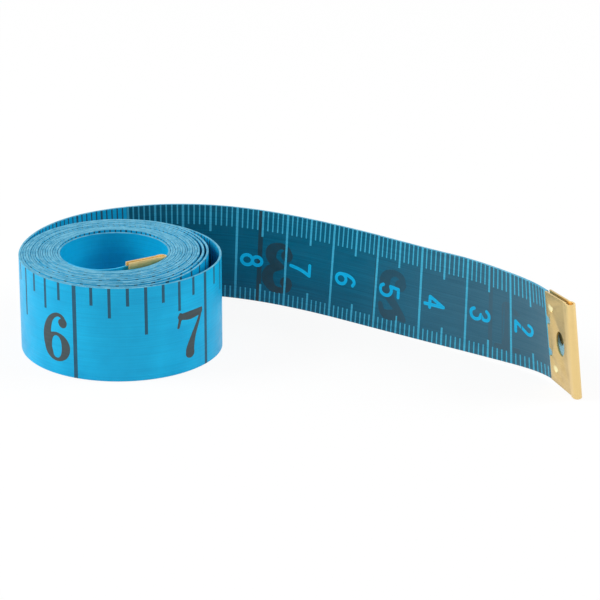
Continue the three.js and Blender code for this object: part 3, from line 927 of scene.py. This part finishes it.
def rolled_brass():
    """Pale brass sheet: rolling lines, soft tarnish, small dents, and painted highlights on the fold and
    round the stakes.
    """
    look = Look("brass")
    place = look.node("ShaderNodeTexCoord").outputs["Object"]
    pale, deep = BRASS_TONES
    lines = look.grain(place, ROLLING_GRAIN, 3.0, 0.6)
    tarnish = look.noise(place, 300.0, 4.0, 0.6)
    dents = look.noise(place, 500.0, 2.0)
    bright = look.mix(look.spread(lines, 0.0, 1.0), deep, pale)
    colour = look.mix(look.spread(tarnish, 0.0, 0.4, 0.5, 0.75), bright, BRASS_TARNISHED)
    fold_start = TIP_LENGTH - FOLD_LENGTH
    fold_edge = (fold_start - 0.2 * MM, fold_start + 0.3 * MM)
    # Painted highlight along the fold, from the crease to the tip's end
    fold_highlight = look.spread(past_mouth(look, place), 0.0, 0.75, *fold_edge)
    # Painted highlight round each stake, where the dimple would catch the light
    stake_glint = look.spread(from_stakes(look, place), 0.9, 0.0, STAKE_RADIUS, 1.6 * STAKE_RADIUS)
    colour = look.mix(stake_glint, look.mix(fold_highlight, colour, BRASS_FOLD_HIGHLIGHT), BRASS_STAKE_GLINT)
    rough = look.math("ADD", look.spread(lines, 0.3, 0.38), look.spread(tarnish, 0.0, 0.08))
    height = look.math("ADD", look.math("MULTIPLY", lines, 0.1), dents)
    return look.shade(Base_Color=colour, Metallic=0.92, Roughness=rough,
                      Normal=look.bump(height, DENT, 0.2))


def tape_materials():
    """The tape's materials, in the order of its slots."""
    ground = coated_cloth("tape_blue", BLUE_TONES, streaks=0.5, shine=0.2)
    block = coated_cloth("tape_block", BLOCK_TONES, streaks=0.75, shine=0.22, painted_sheen=BLOCK_PAINTED_SHEEN)
    light = coated_cloth("tape_light", LIGHT_TONES, streaks=0.75, shine=0.3)
    ink = printed_ink("tape_ink", INK_TONES, INK_WORN)
    line = printed_ink("tape_line", LINE_TONES, LINE_WORN)
    end = coated_cloth("tape_end", END_TONES, streaks=0.5, shine=0.2)
    return [ground, block, light, ink, line, show_through(), end, cut_edge()]


def tape_piece(name, start, end, materials, numerals=True):
    """The tape between two places on its scale, with its print."""
    mesh = Mesh()
    if start < TIP_MOUTH:
        add_pierced_end(mesh, start, start + PIERCED_LENGTH)
        add_strip(mesh, start + PIERCED_LENGTH, end)
    else:
        add_strip(mesh, start, end)
    if numerals:
        add_inch_numerals(mesh, start, end)
        add_centimetre_numerals(mesh, start, end)
    piece = mesh.build(name)
    for material in materials:
        piece.data.materials.append(material)
    return piece


def add_coil(materials):
    """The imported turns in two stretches, and the loose outer turn with the start of the tail."""
    middle_turn = round(PACKED_TURNS / 2 * FACETS_PER_TURN) / FACETS_PER_TURN
    inner_start = INNER_FLEXURE - INNER_FLEXURE_REACH
    stretches = [
        ("tape_inner_turns", place_at_turn(middle_turn), inner_start),
        ("tape_outer_turns", place_at_turn(PACKED_TURNS), place_at_turn(middle_turn)),
        ("tape_loose_turn", TAIL_SEAMS[0], place_at_turn(PACKED_TURNS)),
    ]
    for node, start, end in stretches:
        piece = tape_piece(node.replace("tape", "cloth"), start, end, materials, node == "tape_loose_turn")
        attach(piece, "coil")
        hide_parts(node)


def add_tail(materials):
    """One piece for each flexure, spanning it, and the last reaching into the tip."""
    ends = TAIL_SEAMS[1:] + [TIP_MOUTH - TAPE_INSERTION]
    for number, (start, end) in enumerate(zip(ends, TAIL_SEAMS), 1):
        piece = tape_piece(f"cloth_tail_{number}", start, end, materials)
        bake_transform(piece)
        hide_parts(f"tape_tail_{number}")


def add_inner_end(materials):
    """The stretch inside the core, bending away from the innermost turn."""
    start = INNER_FLEXURE - INNER_FLEXURE_REACH
    piece = tape_piece("cloth_inner_end", start, TAPE_END, materials, False)
    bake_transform(piece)
    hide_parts("tape_inner_end")


def add_tip(node, body, brass):
    """A tip with its sheet's edges rounded over."""
    surface = bmesh.new()
    surface.from_mesh(frame["nodes"][node].data)
    bmesh.ops.remove_doubles(surface, verts=surface.verts, dist=0.001 * MM)
    bmesh.ops.dissolve_limit(surface, angle_limit=math.radians(FLAT_ANGLE),
                             verts=surface.verts, edges=surface.edges)
    rounded = math.radians(ROUNDED_EDGE_ANGLE)
    sharp = [edge for edge in surface.edges if edge.calc_face_angle(0.0) > rounded]
    bmesh.ops.bevel(surface, geom=sharp, offset=SHEET_ROUNDING, segments=2, profile=0.5,
                    affect="EDGES", clamp_overlap=True)
    mesh = bpy.data.meshes.new(f"brass_{node}")
    surface.to_mesh(mesh)
    surface.free()
    mesh.shade_smooth()
    mesh.set_sharp_from_angle(angle=math.radians(SMOOTH_TIP_ANGLE))
    mesh.materials.append(brass)
    piece = bpy.data.objects.new(mesh.name, mesh)
    bpy.context.scene.collection.objects.link(piece)
    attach(piece, body)
    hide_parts(node)


def add_camera():
    data = bpy.data.cameras.new("camera")
    data.lens = LENS_MM
    data.sensor_width = SENSOR_MM
    data.clip_start = CAMERA_NEAR
    camera = bpy.data.objects.new("camera", data)
    rise = math.radians(CAMERA_ELEVATION)
    away = Vector((0.0, -math.cos(rise), math.sin(rise)))
    camera.location = Vector(CAMERA_AIM) + away * CAMERA_DISTANCE
    camera.rotation_euler = (math.pi / 2 - rise, 0.0, 0.0)
    bpy.context.scene.collection.objects.link(camera)
    bpy.context.scene.camera = camera


def background_rays(tree):
    """1 for rays that show the background: to the camera, in reflections and through clear parts."""
    path = tree.nodes.new("ShaderNodeLightPath")
    share = path.outputs["Is Camera Ray"]
    for name in ("Is Glossy Ray", "Is Transmission Ray"):
        either = tree.nodes.new("ShaderNodeMath")
        either.operation = "MAXIMUM"
        tree.links.new(share, either.inputs[0])
        tree.links.new(path.outputs[name], either.inputs[1])
        share = either.outputs[0]
    return share


def add_floor():
    """A white sweep that takes only a faint shadow."""
    bpy.ops.mesh.primitive_plane_add(size=FLOOR_SIZE, location=(0.0, 0.0, -FLOOR_DROP))
    floor = bpy.context.object
    floor.name = "floor"
    look = Look("floor")
    look.shade(Base_Color=FLOOR_GREY, Roughness=0.9, Specular_IOR_Level=0.0)
    glow = look.node("ShaderNodeEmission", [("Color", WHITE), ("Strength", 1.0)])
    seen = look.math("MULTIPLY", background_rays(look.tree), FLOOR_SEEN_WHITE)
    links = [(0, seen), (1, look.shader.outputs[0]), (2, glow.outputs[0])]
    mixed = look.node("ShaderNodeMixShader", links)
    output = look.tree.nodes["Material Output"]
    look.put(output.inputs["Surface"], mixed.outputs[0])
    floor.data.materials.append(look.material)


def add_light(name, location, power):
    """A soft light that points at the middle of the object's foot."""
    data = bpy.data.lights.new(name, "AREA")
    data.size = LIGHT_SIZE
    data.energy = power
    light = bpy.data.objects.new(name, data)
    light.location = location
    light.rotation_euler = (-Vector(location)).to_track_quat("-Z", "Y").to_euler()
    bpy.context.scene.collection.objects.link(light)


def add_sky():
    """White all round to the eye and in reflections, dimmer as a light."""
    world = bpy.data.worlds.new("sky")
    bpy.context.scene.world = world
    world.use_nodes = True
    tree = world.node_tree
    backdrop = tree.nodes["Background"]
    backdrop.inputs["Color"].default_value = WHITE
    strength = tree.nodes.new("ShaderNodeMapRange")
    tree.links.new(background_rays(tree), strength.inputs["Value"])
    strength.inputs["To Min"].default_value = SKY_LIGHT
    strength.inputs["To Max"].default_value = 1.0
    tree.links.new(strength.outputs["Result"], backdrop.inputs["Strength"])


add_camera()
add_floor()
add_sky()
for light_name, light_place, light_power in LIGHTS:
    add_light(light_name, light_place, light_power)
bpy.context.scene.view_settings.view_transform = "Standard"

cloth = tape_materials()
metal = rolled_brass()
add_coil(cloth)
add_tail(cloth)
add_inner_end(cloth[:EDGE] + cloth[:1])
add_tip("outer_tip", "tail_6", metal)
add_tip("inner_tip", "inner_end", metal)
